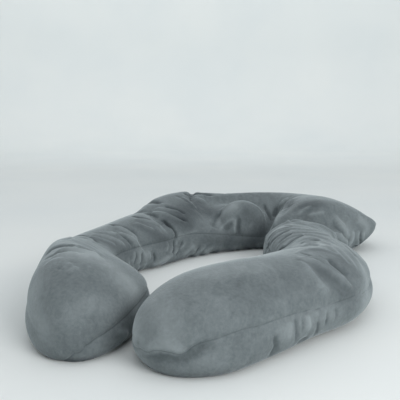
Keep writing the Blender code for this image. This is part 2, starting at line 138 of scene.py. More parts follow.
# Creases, ribs and hollows that are laid on the cover one by one: height and width in millimetres (a height
# below nothing is a valley), and the points of a smooth line, each a row number of the rungs' table and a
# place round the section.  A place is 0 at the inner seam, 1 at the outer seam and 2 at the inner seam again.
CREASES = {
    "left_ball": [
        (6, 8.5, (2.75, 0.69), (2.6, 0.52), (2.45, 0.34)),
        (3, 10, (2.25, 0.52), (2.45, 0.45), (2.45, 0.38)),
        (2.5, 9, (1.8, 0.59), (1.95, 0.52)),
        (2.5, 8, (1.6, 0.54), (1.85, 0.48)),
        (-2, 8, (1.8, 0.62), (1.9, 0.54)),
    ],
    "left_shank": [
        (-6, 7.5, (3.0, 0.77), (3.2, 0.74), (3.1, 0.64), (3.0, 0.55)),
        (4, 7.5, (2.3, 0.69), (2.4, 0.6), (2.4, 0.5)),
        (-4, 6.5, (2.65, 0.76), (2.5, 0.58)),
        (3, 6.5, (2.1, 0.71), (2.2, 0.66), (2.2, 0.58)),
        (3, 6.5, (3.1, 0.7), (3.1, 0.58), (2.75, 0.4)),
        (-3, 5.5, (3.75, 0.69), (3.85, 0.52), (3.75, 0.43), (3.35, 0.39)),
    ],
    "left_arm_ribs": [
        (5.3, 6.8, (4.3, 0.63), (3.65, 0.56), (3.2, 0.47), (2.75, 0.37)),
        (4.7, 5.8, (5.25, 0.54), (5.0, 0.41), (4.65, 0.36)),
        (4.7, 5.8, (5.45, 0.49), (5.6, 0.32), (6.1, 0.11)),
        (6.4, 6.3, (5.65, 0.48), (6.0, 0.34), (6.25, 0.2), (6.55, 0.04)),
        (4.7, 5.8, (6.15, 0.45), (6.35, 0.35), (6.5, 0.25)),
        (7, 6.3, (6.4, 0.35), (6.75, 0.22), (7.1, 0.04), (7.25, 1.97), (7.5, 1.87)),
        (7, 6.8, (6.85, 0.46), (7.0, 0.26), (7.15, 0.06)),
        (5.3, 6.8, (7.65, 0.34), (7.9, 0.21), (8.25, 0.13)),
        (6.4, 6.3, (7.85, 0.44), (8.2, 0.32), (8.45, 0.26), (8.9, 0.2), (9.1, 0.06)),
    ],
    "left_arm_valleys": [
        (-4.7, 5, (5.45, 0.72), (5.4, 0.48), (5.2, 0.28)),
        (-5.9, 5, (6.55, 0.35), (6.7, 0.2), (6.9, 0.01)),
        (-5.3, 5, (7.0, 0.59), (7.0, 0.43), (7.2, 0.27), (7.3, 0.11)),
        (-6.4, 5.5, (8.2, 0.56), (8.25, 0.43), (8.45, 0.34), (8.8, 0.28)),
        (-4.1, 5, (9.05, 0.55), (9.2, 0.3)),
    ],
    "left_arm_wall": [
        (-5.9, 4.5, (7.0, 1.96), (6.93, 1.9), (6.88, 1.83)),
        (4.7, 4.5, (6.92, 1.97), (6.84, 1.92), (6.73, 1.87)),
        (-7, 4.5, (7.3, 1.96), (7.23, 1.9), (7.2, 1.82)),
        (4.1, 5, (7.22, 1.97), (7.14, 1.85)),
        (5.3, 4.5, (7.6, 1.95), (7.65, 1.91), (7.65, 1.87)),
        (-7, 4.5, (7.9, 1.93), (8.0, 1.87), (8.0, 1.83)),
        (5, 8, (9.1, 1.88), (8.5, 1.84), (7.85, 1.81)),
    ],
    "elbow": [
        (-13, 4.5, (9.17, 0.25), (9.26, 0.24), (9.35, 0.16), (9.6, 0.04), (9.57, 0.0), (9.45, 1.99)),
        (-10, 4.5, (9.45, 1.985), (9.35, 1.93), (9.33, 1.88)),
        (4, 6, (9.35, 0.12), (9.55, 0.06), (9.65, 0.02)),
        (4, 4.5, (8.97, 1.99), (8.82, 1.91)),
        (4, 6, (9.35, 0.02), (10.05, 0.003), (11.05, 0.02)),
    ],
    "elbow_wall": [
        (5, 4.5, (9.63, 1.975), (9.3, 1.94), (9.05, 1.89)),
        (-7, 4.5, (10.03, 1.965), (9.5, 1.87)),
        (5, 5, (10.2, 1.95), (9.5, 1.9), (8.6, 1.85)),
        (-8, 5, (11.07, 1.91), (10.6, 1.85), (10.3, 1.845)),
        (4.8, 5, (10.7, 1.93), (9.95, 1.86)),
        (-6.4, 5, (12.05, 1.88), (11.75, 1.86), (11.5, 1.84)),
        (4, 5, (11.35, 1.925), (11.15, 1.89), (10.55, 1.855)),
        (4.8, 5, (11.8, 1.915), (11.4, 1.875), (11.05, 1.83)),
    ],
    "shoulder": [
        (7.4, 6, (9.15, 0.46), (9.45, 0.3), (9.8, 0.19), (10.35, 0.11)),
        (-7.4, 6, (9.75, 0.38), (10.3, 0.26), (10.6, 0.2)),
        (-5.4, 7, (9.7, 0.25), (10.1, 0.17), (10.6, 0.12)),
        (5.4, 6, (9.35, 0.45), (9.75, 0.31), (10.45, 0.22)),
        (-5, 10, (11.05, 0.57), (11.3, 0.49), (11.5, 0.45)),
        (-3, 10, (10.65, 0.52), (11.05, 0.35)),
        (-8, 10, (11.35, 0.57), (11.7, 0.62), (12.25, 0.6)),
        (5, 9, (11.1, 0.52), (11.5, 0.46), (11.85, 0.47)),
        (4, 9, (10.8, 0.48), (11.0, 0.39), (11.25, 0.28)),
        (-9, 10, (11.15, 0.38), (11.6, 0.75)),
        (-7, 10, (9.75, 0.45), (9.7, 0.62), (9.75, 0.8)),
    ],
    "lobe": [
        (5, 6, (12.83, 0.12), (12.77, 0.04), (12.8, 0.0)),
        (-3, 13, (12.3, 0.04), (12.45, 0.07), (12.7, 0.085)),
        (-5.5, 7, (13.0, 0.13), (13.0, 0.03), (13.1, 0.0)),
        (-10, 6, (14.1, 0.49), (14.2, 0.42), (14.5, 0.29), (14.8, 0.19)),
        (-5, 9, (11.75, 0.06), (12.0, 0.17), (12.3, 0.26)),
        (4, 6, (12.05, 0.03), (12.35, 0.09), (12.8, 0.115)),
    ],
    "notch": [
        (-4, 9, (14.8, 0.37), (14.87, 0.31), (14.85, 0.24)),
        (10, 9, (15.75, 0.43), (15.77, 0.35), (16.2, 0.22), (16.8, 0.13), (16.95, 0.08)),
        (5, 8, (15.4, 0.435), (14.95, 0.37)),
        (5, 6, (17.7, 0.28), (17.7, 0.33), (17.85, 0.41)),
        (4.5, 6, (17.95, 0.35), (18.35, 0.48), (18.5, 0.57)),
    ],
    "ear": [
        (6, 10, (19.6, 0.95), (19.68, 1.0), (19.33, 1.09)),
        (-4, 12, (18.85, 0.69), (19.3, 0.83), (19.5, 1.01), (19.2, 1.08)),
        (4, 12, (18.55, 0.64), (19.05, 0.8), (19.4, 0.97), (19.3, 1.05)),
        (6.8, 6, (19.15, 0.99), (19.18, 1.04), (19.28, 1.11)),
        (-8.1, 5.5, (18.82, 1.02), (18.79, 1.07), (18.34, 1.185), (18.84, 1.14)),
        (6.1, 5.5, (18.91, 1.0), (18.92, 1.07), (18.44, 1.18)),
        (-6.1, 5, (18.53, 1.085), (18.41, 1.16)),
        (5.4, 5.5, (18.72, 1.02), (18.69, 1.075), (18.32, 1.16)),
    ],
    "neck_ribs": [
        (3.5, 5, (17.35, 0.145), (18.6, 0.235), (19.4, 0.345), (20.15, 0.565), (20.4, 0.77)),
        (3.5, 4, (19.3, 0.215), (19.95, 0.355), (20.35, 0.46), (20.63, 0.64)),
        (4, 5, (20.45, 0.07), (20.3, 0.2), (20.55, 0.37), (20.9, 0.58), (20.7, 0.79)),
        (5.5, 5, (21.1, 0.04), (21.02, 0.2), (21.25, 0.43), (21.75, 0.67), (22.1, 0.685), (22.6, 0.685)),
        (5, 4.5, (21.6, 0.06), (21.55, 0.22), (21.5, 0.33), (21.65, 0.435), (21.85, 0.49), (22.45, 0.605),
         (22.95, 0.64)),
        (4, 5, (22.0, 0.115), (21.95, 0.17)),
        (6, 5.5, (22.85, 0.23), (22.4, 0.29), (22.22, 0.38), (22.35, 0.47), (22.9, 0.565), (24.0, 0.71),
         (24.7, 0.89)),
        (5.5, 4.5, (22.8, 0.32), (22.65, 0.385), (22.9, 0.475), (23.3, 0.535), (24.3, 0.715), (24.7, 0.83)),
        (4.5, 4.5, (23.1, 0.365), (22.98, 0.43), (23.3, 0.51), (23.85, 0.595)),
        (4.5, 5.5, (25.0, 0.55), (24.65, 0.535), (24.4, 0.55), (24.3, 0.62), (24.47, 0.75)),
        (4, 6, (22.2, 0.675), (22.85, 0.69), (23.5, 0.735), (24.0, 0.8), (24.45, 0.915)),
    ],
    "neck_valleys": [
        (-3, 3.5, (17.45, 0.165), (18.9, 0.28), (19.45, 0.415), (19.9, 0.57)),
        (-5, 4.5, (20.17, 0.035), (20.11, 0.2), (20.28, 0.415)),
        (-5.5, 4.5, (20.7, 0.02), (20.77, 0.15), (20.65, 0.36)),
        (-6, 4.5, (21.47, 0.135), (21.2, 0.31), (21.05, 0.41), (21.05, 0.5)),
        (-6.5, 4.5, (22.35, 0.15), (21.97, 0.25), (21.68, 0.39), (21.63, 0.49), (21.8, 0.545), (22.1, 0.59)),
        (-6.5, 5.5, (22.8, 0.325), (22.57, 0.38), (22.5, 0.445), (22.6, 0.51), (22.8, 0.565), (23.15, 0.61)),
        (-5, 5, (21.9, 0.68), (22.9, 0.73), (23.5, 0.775), (23.95, 0.835)),
        (-7, 5, (20.15, 1.945), (20.32, 1.995), (20.6, 0.07)),
        (-7, 6, (21.9, 0.09), (22.13, 0.15), (22.18, 0.2)),
    ],
    "knee": [
        (6.5, 7, (25.35, 0.615), (25.42, 0.8), (25.39, 0.88), (25.2, 0.97)),
        (3.5, 5, (25.47, 0.645), (25.47, 0.705)),
        (4, 12, (25.57, 0.67), (25.85, 0.79), (25.92, 0.88), (25.8, 0.965)),
        (-5, 8, (24.85, 0.72), (25.05, 0.785), (25.1, 0.895)),
        (-3.5, 4, (24.87, 0.55), (24.93, 0.595), (25.03, 0.645)),
    ],
    "right_ball_puckers": [
        (-4.8, 6.5, (26.7, 1.01), (26.7, 1.08), (26.65, 1.145)),
        (3.2, 7.5, (26.86, 1.01), (26.92, 1.105)),
        (-3.2, 5.5, (26.55, 1.015), (26.57, 1.11)),
        (4.8, 5.5, (26.45, 1.015), (26.44, 1.095)),
        (-4.8, 5.5, (26.22, 1.025), (26.2, 1.07), (26.1, 1.165)),
        (4, 5, (26.22, 1.015), (26.21, 1.08)),
        (-5.6, 5, (26.0, 1.03), (25.98, 1.065), (25.94, 1.11)),
        (4.8, 5.5, (26.02, 1.025), (26.0, 1.05), (26.02, 1.075)),
        (-3.2, 5.5, (25.73, 1.03), (25.71, 1.105)),
        (-4.5, 8, (27.22, 1.16), (27.14, 1.13), (27.19, 1.05)),
        (-4, 8, (26.57, 1.16), (26.32, 1.15)),
    ],
    "right_toe": [
        (2.5, 12, (29.8, 1.06), (29.3, 0.995), (29.07, 0.995), (28.9, 1.015), (28.75, 0.985)),
        (-5.5, 11, (29.6, 1.375), (29.45, 1.15), (29.25, 1.09), (29.0, 1.08), (28.6, 1.015), (28.25, 1.0)),
    ],
}

# Patches of painted light and shade, with some uneven pile tone: deep where shade falls (under the bar,
# beside the lobe, at the shoulder and knee), pale where light falls (rims, lower panels).  Tone (lighter over
# nothing, darker under it), width in millimetres, and the points of the patch's middle line, as for a crease.
PAINTED_LIGHT_AND_PILE = {
    "left_ball_right_pale": (0.42, 38, (2.15, 0.165), (2.15, 0.05), (2.05, 0.0)),
    "left_ball_back_pale": (0.3, 28, (2.4, 0.56), (2.4, 0.34)),
    "left_ball_left_pale": (0.25, 30, (1.75, 0.83), (1.3, 0.865), (0.9, 0.945)),
    "left_ball_middle_pale": (0.15, 30, (0.7, 0.415), (1.15, 0.26)),
    "left_ball_top_deep": (-0.15, 34, (1.4, 0.485), (1.45, 0.31)),
    "left_ball_front_deep": (-0.18, 30, (0.55, 0.215), (0.25, 0.19)),
    "left_ball_under_deep": (-0.25, 28, (1.1, 1.965), (1.55, 1.965), (1.85, 1.99)),
    "left_arm_low_deep": (-0.3, 26, (5.57, 0.265), (5.8, 0.15), (6.2, 0.05), (6.6, 1.965)),
    "left_arm_deep": (-0.45, 26, (7.8, 0.275), (8.15, 0.11), (8.9, 0.005)),
    "shoulder_deep": (-0.5, 34, (9.65, 0.16), (10.0, 0.12), (10.35, 0.085)),
    "bar_left_deep": (-0.7, 48, (10.4, 0.225), (10.9, 0.265), (11.4, 0.35), (11.7, 0.29)),
    "bar_middle_deep": (-0.3, 30, (11.4, 1.945), (12.25, 1.945)),
    "bar_under_deep": (-0.5, 40, (12.75, 1.96), (13.85, 1.975)),
    "lobe_left_pale": (0.4, 24, (11.95, 0.145), (12.3, 0.205), (12.7, 0.225)),
    "lobe_right_deep": (-0.4, 28, (13.4, 0.15), (13.9, 0.105), (14.1, 0.06)),
    "ear_left_deep": (-0.65, 40, (15.85, 0.32), (16.65, 0.31), (17.2, 0.34), (17.6, 0.425)),
    "ear_tip_pale": (0.3, 22, (18.45, 0.9), (18.52, 0.975), (18.58, 1.03)),
    "ear_low_pale": (0.2, 28, (19.42, 0.885), (19.3, 1.04)),
    "neck_top_pale": (0.2, 30, (19.75, 0.235), (20.3, 0.43), (20.65, 0.605)),
    "neck_middle_pale": (0.15, 30, (22.65, 0.24), (22.75, 0.43), (23.4, 0.59)),
    "neck_low_deep": (-0.35, 26, (24.43, 0.595), (24.65, 0.72), (24.8, 0.85)),
    "knee_deep": (-0.45, 32, (25.55, 0.8), (25.5, 0.91), (25.27, 1.02)),
    "right_rim_pale": (0.3, 24, (24.35, 0.925), (24.5, 1.01), (24.7, 1.065)),
    "right_under_pale": (0.2, 28, (26.95, 1.05), (24.75, 1.06)),
    "right_ball_top_pale": (0.2, 35, (27.3, 0.54), (26.9, 0.605), (26.35, 0.635)),
    "right_ball_middle_deep": (-0.2, 45, (27.4, 0.77), (26.15, 0.83)),
    "toe_top_pale": (0.2, 30, (28.65, 0.35), (28.95, 0.575), (29.15, 0.785)),
    "toe_left_pale": (0.45, 28, (29.65, 0.225), (28.45, 1.855)),
    "toe_lip_pale": (0.12, 16, (29.7, 1.83), (29.8, 1.325), (29.68, 1.075), (29.45, 1.03), (29.05, 1.01)),
    "toe_under_pale": (0.1, 26, (29.15, 1.095), (28.55, 1.07)),
}

# Families of wrinkles: count, rows, places round the section, height, width, bow, seed.
FAMILIES = {
    "left_arm_outer": (9, (5.2, 9.4), (0.72, 1.35), 3.5, 8.0, 0.1, 11),
    "left_arm_lower": (10, (5.6, 9.0), (1.02, 1.4), 4.0, 9.0, 0.0, 12),
    "head_back": (9, (9.8, 15.6), (0.7, 1.3), 4.0, 14.0, 0.05, 13),
    "head_back_puckers": (16, (9.6, 17.0), (1.0, 1.22), 3.5, 8.0, 0.0, 14),
    "ear_back": (5, (16.6, 18.2), (0.8, 1.3), 3.5, 10.0, 0.0, 15),
    "neck_outer": (8, (19.6, 23.4), (0.8, 1.35), 4.5, 10.0, 0.0, 16),
    "neck_inner": (8, (19.6, 23.6), (1.6, 2.05), 4.0, 9.0, 0.0, 17),
    "left_arm_inner": (7, (5.0, 7.8), (1.62, 2.02), 3.5, 9.0, 0.0, 18),
    "bar_inner": (8, (10.6, 15.0), (1.7, 1.97), 3.5, 9.0, 0.0, 19),
    "left_ball_puckers": (14, (0.9, 5.0), (1.22, 1.4), 3.0, 8.0, 0.0, 20),
    "left_ball_inner_puckers": (10, (1.2, 5.0), (1.84, 1.99), 3.0, 8.0, 0.0, 21),
    "right_ball_inner_puckers": (12, (24.4, 28.6), (1.84, 1.99), 3.0, 8.0, 0.0, 22),
}
# How unlike each other a family's wrinkles are: shares of the stride between two of them, and of the
# family's reach round the section, height and width.
UNLIKE = {
    "row": 0.35,
    "ends": 0.3,
    "slant": 0.5,
    "middle": 0.3,
    "height": (0.5, 1.2),
    "width": (0.8, 1.2),
    "lean": 0.3,
}

BEFORE_CLOTH, AFTER_CLOTH = 0.4, 0.9  # shares of the creases pressed in before and after the cloth settles
RIDGE_CREST, VALLEY_CREST = 0.45, 0.3  # how round a crest and the bottom of a valley are, in widths
HEIGHTEN = 1.1  # how much higher all creases together are than their tables say
COARSE = 7  # mm: creases narrower than this are pressed in only after the cloth has settled
BESIDE, BESIDE_WIDTH = 0.45, 2.6  # share of a crease that is taken back beside it, and how wide, in widths
CREASE_REACH = 6  # widths from its line beyond which a crease adds nothing
END_FADE = 0.3  # share of a crease over which each end fades
LINE_STEPS = 8  # points of a smooth line for each stretch between two points of its table

# How much longer the cover was cut than the shape it covers, on the inner and outer side, by rung name.
EASE = {
    "left_tip": (0.0, 0.0),
    "left_ball": (0.01, 0.01),
    "left_ball_back": (0.02, 0.02),
    "left_shank": (0.05, 0.04),
    "left_neck": (0.09, 0.06),
    "left_shoulder": (0.11, 0.04),
    "left_corner": (0.08, 0.03),
    "bar_middle": (0.03, 0.01),
    "bar_right": (0.06, 0.02),
    "right_back": (0.05, 0.02),
    "right_ear_front": (0.05, 0.03),
    "right_waist": (0.04, 0.04),
    "right_shank": (0.04, 0.03),
    "right_calf": (0.02, 0.01),
    "right_ball_back": (0.01, 0.01),
    "right_tip": (0.0, 0.0),
}
NARROWEST = 3 * CM  # narrowest rung that the extra turning is worked out for

# The cloth's settings, by the names that the simulation gives them.
CLOTH = {
    "quality": 5,
    "mass": 0.3,
    "tension_stiffness": 15.0,
    "compression_stiffness": 15.0,
    "shear_stiffness": 5.0,
    "bending_stiffness": 0.3,
    "tension_damping": 5.0,
    "compression_damping": 5.0,
    "shear_damping": 5.0,
    "bending_damping": 0.5,
    "use_pressure": True,
    "uniform_pressure_force": 4.0,
    "vertex_group_mass": "hold",
    "pin_stiffness": 1.0,
}
FRAMES = 20  # frames over which the cloth settles
HOLD = 0.05  # how strongly the filling holds the cover's points in place, where 1 is fixed
TOUCH = 0.5 * MM  # a point this low rests on the surface and stays there
TIP_RUNGS = 6  # rungs over which an arm's tip is held
MOST_MOVE = 30 * MM  # the farthest that a point may move while the cloth settles
FOLLOW = {"fine": 0.5, "broad": 0.1}  # shares of the cloth's fine and broad moves that are kept
BROAD_REACH = 7  # steps to each side over which moves are averaged to find the broad part
FLOOR_REACH = 2  # steps over which that part is let go towards the floor's side

# The seam, one closed line of (row number, place): under the left tip, along the outer side, round the
# right tip and back along the inner side.
SEAM = (
    [(0.26, 1.55), (0.42, 1.44), (0.9, 1.3), (1.6, 1.24), (2.5, 1.2), (3.5, 1.15), (4.5, 1.08), (5.5, 1.02)]
    + [(float(row), 1.0) for row in range(7, 18)]
    + [(18.0, 1.02), (18.4, 1.12), (18.9, 1.16), (19.4, 1.14), (20.0, 1.06)]
    + [(21.0, 1.0), (22.0, 1.0), (23.0, 1.0), (24.0, 1.02), (24.6, 1.025), (25.3, 1.01)]
    + [(26.0, 1.015), (26.4, 1.0), (26.9, 0.99), (27.4, 0.98)]
    + [(27.8, 0.96), (28.35, 0.97), (28.6, 0.985), (28.9, 1.04), (29.2, 1.035), (29.4, 1.035)]
    + [(29.6, 1.1), (29.8, 1.44), (29.6, 1.845), (29.2, 1.95), (28.5, 1.99)]
    + [(float(row), 2.0) for row in range(28, 0, -1)]
    + [(0.65, 1.995), (0.48, 1.97), (0.32, 1.91), (0.26, 1.55)]
)
SEAM_REACH = 40 * MM  # how far from the seam its distance is worked out
STRETCHES = 8  # stretches of a line taken together when distances from it are worked out

# How the seam draws the cover in: a narrow groove in a wider shallow one.
SEAM_PULL = {"depth": 1.8 * MM, "width": 2.2 * MM, "pull": 1.6 * MM, "pull_width": 9 * MM}

# How far up and how far in the cover is drawn where it meets the floor, and the narrowest foot it is
# worked out for.
TUCK = {"height": 16 * MM, "depth": 8 * MM, "narrowest": 20 * MM}

# What the velour reads: the lift at which a crest is painted at its palest (and a valley this deep at its
# darkest), as painted highlight and shade; how far from its line a patch of painted light and shade is worked
# out, in widths;
# and how far up the floor's painted contact shadow reaches.
CREST = 5 * MM
PATCH_REACH = 2.5
CONTACT_SHADOW_HEIGHT = 10 * MM

# The velour's patterns, from broad to fine: waves a metre, detail, roughness and distortion.
PATTERNS = {
    "patches": (9.0, 3.0, 0.55, 0.8),
    "strokes": (38.0, 3.0, 0.6, 1.2),
    "mottle": (150.0, 2.0, 0.6, 0.0),
    "pile": (900.0, 1.0, 0.5, 0.0),
}
STROKES = {"size": (1.0, 0.45, 1.0), "turn": (0, 0, 0.5)}  # the strokes run on, and at an angle
TONES = {  # which part of a pattern's range counts, and how far it shifts the tone each way
    "patches": (0.0, 1.0, 0.45),
    "strokes": (0.25, 0.75, 0.3),
    "mottle": (0.3, 0.7, 0.18),
    "pile": (0.3, 0.7, 0.1),
}
BUMPS = {"pile": (0.35, 0.6), "mottle": (0.3, 1.5), "strokes": (0.14, 3.0)}  # strength, height in mm
# In the velour's colours, pale is painted light and deep is painted shade, also the painted contact shadow at
# the floor.
VELOUR = {
    "dark": (0.1, 0.118, 0.124, 1),
    "light": (0.195, 0.222, 0.231, 1),
    "pale": (0.37, 0.41, 0.42, 1),
    "deep": (0.035, 0.042, 0.048, 1),
    "seam": (0.03, 0.038, 0.042, 1),
}
CREST_PAINTED_TONE, CREST_PAINTED_LIGHT = 0.5, 0.22  # how far a crest is painted lighter and a valley darker, as highlight and shade, in the tone and in the patches' painted light
FULL_TONE = 0.6  # tone at which the velour is wholly light, and under nothing wholly dark
UNEVEN = (0.3, 0.7, 0.7, 1.3)  # the patches' range, and the shares it makes of a patch of painted light and shade
SEAM_LINE = {"width": 2.4 * MM, "share": 0.35}  # how wide and how dark the line in the seam is
VELOUR_SHADER = {
    "Roughness": 0.92,
    "Specular IOR Level": 0.15,
    "Sheen Weight": 0.5,
    "Sheen Roughness": 0.35,
    "Sheen Tint": (0.85, 0.93, 0.96, 1),
}

# The studio: a round floor that curves up into a backdrop, its surface and the light of the air.
FLOOR = {
    "middle": 0.001,
    "first_ring": 0.5,
    "flat": 4.6,
    "curve": 1.2,
    "wall": 2.5,
    "rings": 16,
    "sides": 96,
}
SURFACE = {
    "dark": (0.76, 0.79, 0.79, 1),
    "light": (0.8, 0.82, 0.81, 1),
    "clouds": (1.3, 2.0),  # waves a metre and detail
    "range": (0.3, 0.7, 0, 1),  # the part of the clouds' range that is mixed from dark to light
}
SURFACE_SHADER = {"Roughness": 0.6, "Specular IOR Level": 0.2}
AIR = {"Color": (0.95, 0.98, 1.0, 1), "Strength": 0.85}
CAMERA = {"place": (-0.1041, -1.7494, 0.5), "down": 9.0, "lens": 56.7, "sensor": 36.0}
# Soft lights: place, what it points at, size, watts, colour.
LIGHTS = {
    "front_softbox": ((1.5, -2.5, 1.4), (0.0, 0.0, 0.1), (1.6, 0.8), 43.0, (1.0, 1.0, 1.0)),
    "backdrop_softbox": ((0.0, 3.6, 2.2), (0.0, 5.8, 1.2), (5.0, 1.0), 18.0, (0.97, 0.99, 1.0)),
}

# ---------------------------------------------------------------------------------------------------------
# The stuffed shape, as the CAD part has it, on a finer grid
# ---------------------------------------------------------------------------------------------------------


def spline(before, here, after, beyond, steps):
    """Points on a smooth curve (Catmull-Rom) from each row of here to the next, steps of them for each."""
    u = (np.arange(steps) / steps)[:, None, None]
    curve = 0.5 * (
        2 * here
        + (after - before) * u
        + (2 * before - 5 * here + 4 * after - beyond) * u**2
        + (3 * here - before - 3 * after + beyond) * u**3
    )
    return curve.transpose(1, 0, 2).reshape(-1, here.shape[1])


def by_rung(table, rows):
    """A value at each place along the pillow: straight lines between the table's named rungs."""
    names = list(RUNGS)
    return np.interp(rows, [names.index(name) for name in table], list(table.values()))


def ladder():
    """Smooth rungs between the table's rows: a dict of columns in metres, with each rung's row number.

    The outline is one closed curve: out along the outer points, back along the inner ones.  The crown
    and the belly change sign on the way back, so that they fall to nothing at a tip as a round end does.
    The rungs are evenly spaced along both seams together, but closer where CROWDING says.
    """
    table = dict(zip(RUNG_COLUMNS, np.array(list(RUNGS.values())).T))
    shared = [table[name] for name in ("seam", "crown", "belly", "lean", "full")]
    outer = np.column_stack([table["out_x"], table["out_y"], *shared])
    inner = np.column_stack([table["in_x"], table["in_y"], *shared]) * (1, 1, 1, -1, -1, 1, 1)
    outline = np.concatenate([outer, inner[-2:0:-1]])
    curve = spline(*(np.roll(outline, shift, axis=0) for shift in (1, 0, -1, -2)), SPLINE_STEPS)
    last = (len(outer) - 1) * SPLINE_STEPS
    out_side = curve[: last + 1]
    in_side = np.roll(curve[::-1], 1, axis=0)[: last + 1]
    steps = np.arange(last + 1)
    strides = sum(np.linalg.norm(np.diff(side[:, :2], axis=0), axis=1) for side in (in_side, out_side))
    crowd = by_rung(CROWDING, (steps[1:] - 0.5) / SPLINE_STEPS)
    along = np.concatenate([[0], np.cumsum(strides * crowd)])
    place = np.interp(np.linspace(0, along[-1], RUNG_COUNT + 2), along, steps)
    smooth = np.column_stack([in_side[:, :2], out_side])
    picked = [np.interp(place, steps, column) for column in smooth.T]
    rungs = dict(zip(RUNG_COLUMNS, picked))
    for name in ("in_x", "in_y", "out_x", "out_y", "seam", "crown", "belly"):
        rungs[name] = rungs[name] * CM
    rungs["row"] = place / SPLINE_STEPS
    return rungs


def across_steps(count):
    """Places across a panel from -1, the inner seam, to 1, the outer one, closer together at the seams."""
    return -np.cos(np.linspace(0, np.pi, count + 1))[None, :]


def superellipse(across, power):
    """Height, 0 to 1, of a superellipse section at a place across it from -1 to 1."""
    return np.maximum(0, 1 - np.abs(across) ** power) ** (1 / power)


def from_lobe(x, y):
    """Distance from the middle of the head lobe."""
    return np.hypot(x - LOBE["x"] * CM, y - LOBE["y"] * CM)


def lobe_height(x, y):
    """Height of the head lobe's round mound above the surface, nothing outside its radius."""
    out = np.minimum(1, from_lobe(x, y) / (LOBE["radius"] * CM))
    return LOBE["top"] * CM * superellipse(out, LOBE["full"])


def moat_depth(x, y):
    """How far the moat lies below the panel: a ring round the lobe, deep behind it and none in front."""
    away = (from_lobe(x, y) - MOAT["radius"] * CM) / (MOAT["width"] * CM)
    bearing = np.arctan2(y - LOBE["y"] * CM, x - LOBE["x"] * CM) - np.radians(MOAT["towards"])
    share = np.clip(MOAT["even"] + (1 - MOAT["even"]) * np.cos(bearing), 0, 1)
    return MOAT["depth"] * CM * share * np.exp(-(away**2))


def smooth_max(a, b, blend):
    """The larger of a and b, with a rounded corner of the given size between them."""
    return (a + b + np.sqrt((a - b) ** 2 + blend**2)) / 2


def fold_depth(x, y):
    """How far the main folds press the upper panel down at a place of the plan.

    A fold is a trough along a line.  Across the line it is a bell, and along it the depth eases off.
    """
    total = np.zeros_like(x)
    for row in FOLDS.values():
        fold = {name: value * CM for name, value in zip(FOLD_COLUMNS, row)}
        run = np.array([fold["x1"] - fold["x0"], fold["y1"] - fold["y0"]])
        share = ((x - fold["x0"]) * run[0] + (y - fold["y0"]) * run[1]) / (run @ run)
        share = np.clip(share, 0, 1)
        away = np.hypot(x - fold["x0"] - share * run[0], y - fold["y0"] - share * run[1])
        total += fold["depth"] * (1 - FOLD_EASE * share) * np.exp(-((away / fold["width"]) ** 2))
    return total


def between(rungs, across):
    """Plan of the points a share of the way across each rung: -1 is its inner seam, 1 its outer one."""
    share = (across + 1) / 2
    x = rungs["in_x"] + (rungs["out_x"] - rungs["in_x"]) * share
    y = rungs["in_y"] + (rungs["out_y"] - rungs["in_y"]) * share
    return x, y


def upper_panel(rungs):
    """Points of the upper panel from the inner seam to the outer one, with its lobe, moat and folds."""
    across = across_steps(FINE_STEPS)
    x, y = between(rungs, across)
    leant = (across - rungs["lean"]) / (1 - rungs["lean"] * across)
    inside = np.minimum(1, superellipse(across, 2) * FADE)
    z = rungs["seam"] + rungs["crown"] * superellipse(leant, rungs["full"])
    z = z - moat_depth(x, y) * inside
    lobe = rungs["seam"] + (lobe_height(x, y) - rungs["seam"]) * inside
    z = smooth_max(z, lobe, LOBE["blend"] * CM * inside)
    z = z - fold_depth(x, y) * inside
    return np.dstack([x, y, z])


def lower_panel(rungs):
    """Points of the lower panel from the outer seam to the inner one, pressed flat by the surface."""
    across = -across_steps(FINE_STEPS)
    drop = superellipse(across, BELLY_FULLNESS * rungs["full"])
    bulge = BELLY_BULGE * (rungs["full"] - 1) * np.sin(np.pi * drop)
    x, y = between(rungs, across * (1 + bulge))
    z = np.maximum(0, rungs["seam"] - rungs["belly"] * drop)
    return np.dstack([x, y, z])


def evenly(rings, count):
    """Each ring's points moved along it so that count equal strides take it from its first point to its last.

    The strides of all rings are laid end to end, one whole number a ring, so that one interpolation
    serves them all.
    """
    stride = np.linalg.norm(np.diff(rings, axis=1), axis=2)
    gone = np.concatenate([np.zeros((len(rings), 1)), np.cumsum(stride, axis=1)], axis=1)
    gone = gone / gone[:, -1:] * (1 - 1e-9) + np.arange(len(rings))[:, None]
    wanted = np.linspace(0, 1 - 1e-9, count + 1)[None, :] + np.arange(len(rings))[:, None]
    moved = [np.interp(wanted, gone.ravel(), rings[..., axis].ravel()) for axis in range(3)]
    return np.stack(moved, axis=-1)


def stuffed_shape():
    """The whole smooth cover: rings (rungs x places x 3), the two tips, and the rungs it was built on.

    The middle of its box is moved to the middle of the CAD node's box, which has the same size.
    """
    rungs = ladder()
    tips = np.column_stack([rungs[name][[0, -1]] for name in ("in_x", "in_y", "seam")])
    without_tips = {name: column[1:-1, None] for name, column in rungs.items()}
    upper = evenly(upper_panel(without_tips), UPPER_STEPS)
    lower = evenly(lower_panel(without_tips), LOWER_STEPS)
    rings = np.concatenate([upper, lower[:, 1:-1]], axis=1)
    low, high = (np.array(corner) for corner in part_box("body_pillow"))
    middle = (rings.min(axis=(0, 1)) + rings.max(axis=(0, 1))) / 2 - (low + high) / 2
    middle[2] = 0
    for name, axis in (("in_x", 0), ("in_y", 1), ("out_x", 0), ("out_y", 1)):
        rungs[name] = rungs[name] - middle[axis]
    return rings - middle, tips - middle, rungs


# ---------------------------------------------------------------------------------------------------------
# Folds and wrinkles
# ---------------------------------------------------------------------------------------------------------


